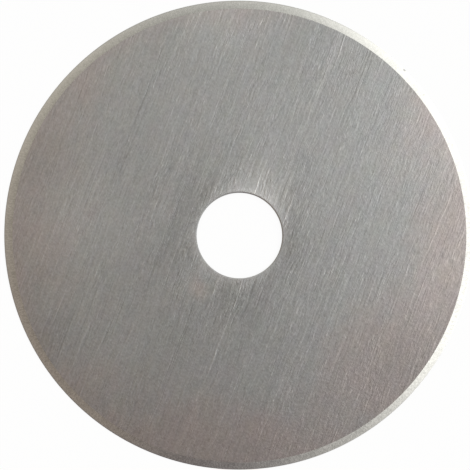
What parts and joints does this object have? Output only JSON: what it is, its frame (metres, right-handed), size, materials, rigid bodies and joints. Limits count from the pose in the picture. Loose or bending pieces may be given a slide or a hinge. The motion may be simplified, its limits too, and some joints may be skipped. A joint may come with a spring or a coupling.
{
  "type": "rotary cutter blade",
  "caption": "Thin round steel cutting blade with a plain centre hole, bevelled on both sides to a razor edge all the way round.",
  "frame": {"origin": "on the axis of the centre hole, in the plane of the cutting edge, halfway through the thickness", "axes": "+Z along the hole's axis, out of the upper face; X and Y in the plane of the blade, which is round, so their direction is free"},
  "size_m": [0.045, 0.045, 0.0004],
  "materials": {
    "blade_steel": "belt-ground hardened tool steel, with fine parallel scratches on the faces and a finer bright grind on the bevels"
  },
  "bodies": {
    "root": {"blade": "blade_steel"}
  },
  "joints": []
}
